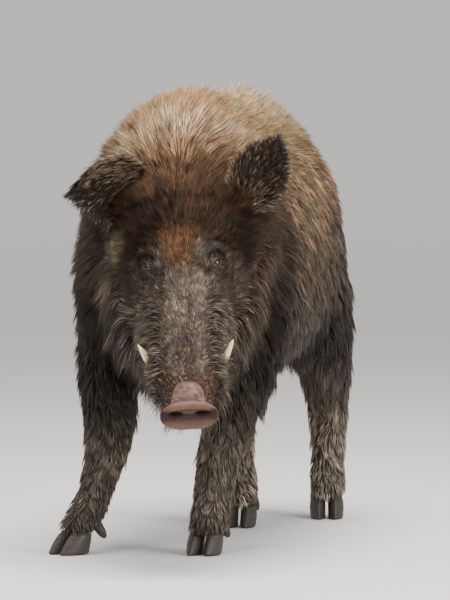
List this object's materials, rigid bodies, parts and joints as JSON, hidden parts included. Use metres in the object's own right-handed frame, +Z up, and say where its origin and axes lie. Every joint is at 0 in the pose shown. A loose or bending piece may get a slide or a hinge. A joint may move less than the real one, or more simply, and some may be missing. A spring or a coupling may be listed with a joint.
{
  "type": "wild boar figure",
  "caption": "Life-size still figure of an adult male wild boar, standing with its head lowered and turned to its left, in a long wet bristle coat, with curved tusks and cloven hooves.",
  "frame": {"origin": "on the floor, under the middle of the bounding box", "axes": "+Z up; the boar faces -Y, and its left side is at +X"},
  "size_m": [0.4802, 1.4936, 0.898],
  "materials": {
    "bristle_coat": "coarse dark brown bristles, wet and clumped on the sides and legs",
    "snout_skin": "bare damp skin",
    "eye_brown": "glossy dark brown",
    "tusk_ivory": "satin ivory",
    "hoof_horn": "dull dark horn"
  },
  "bodies": {
    "root": {"dewclaw_front_left_inner": "hoof_horn", "dewclaw_front_left_outer": "hoof_horn", "dewclaw_front_right_inner": "hoof_horn", "dewclaw_front_right_outer": "hoof_horn", "dewclaw_hind_left_inner": "hoof_horn", "dewclaw_hind_left_outer": "hoof_horn", "dewclaw_hind_right_inner": "hoof_horn", "dewclaw_hind_right_outer": "hoof_horn", "ear_left": "bristle_coat", "ear_right": "bristle_coat", "eye_left": "eye_brown", "eye_right": "eye_brown", "head": "bristle_coat", "hoof_front_left_inner": "hoof_horn", "hoof_front_left_outer": "hoof_horn", "hoof_front_right_inner": "hoof_horn", "hoof_front_right_outer": "hoof_horn", "hoof_hind_left_inner": "hoof_horn", "hoof_hind_left_outer": "hoof_horn", "hoof_hind_right_inner": "hoof_horn", "hoof_hind_right_outer": "hoof_horn", "leg_front_left": "bristle_coat", "leg_front_right": "bristle_coat", "leg_hind_left": "bristle_coat", "leg_hind_right": "bristle_coat", "neck": "bristle_coat", "snout": "snout_skin", "tail": "bristle_coat", "trunk": "bristle_coat", "tusk_lower_left": "tusk_ivory", "tusk_lower_right": "tusk_ivory", "tusk_upper_left": "tusk_ivory", "tusk_upper_right": "tusk_ivory"}
  },
  "joints": []
}
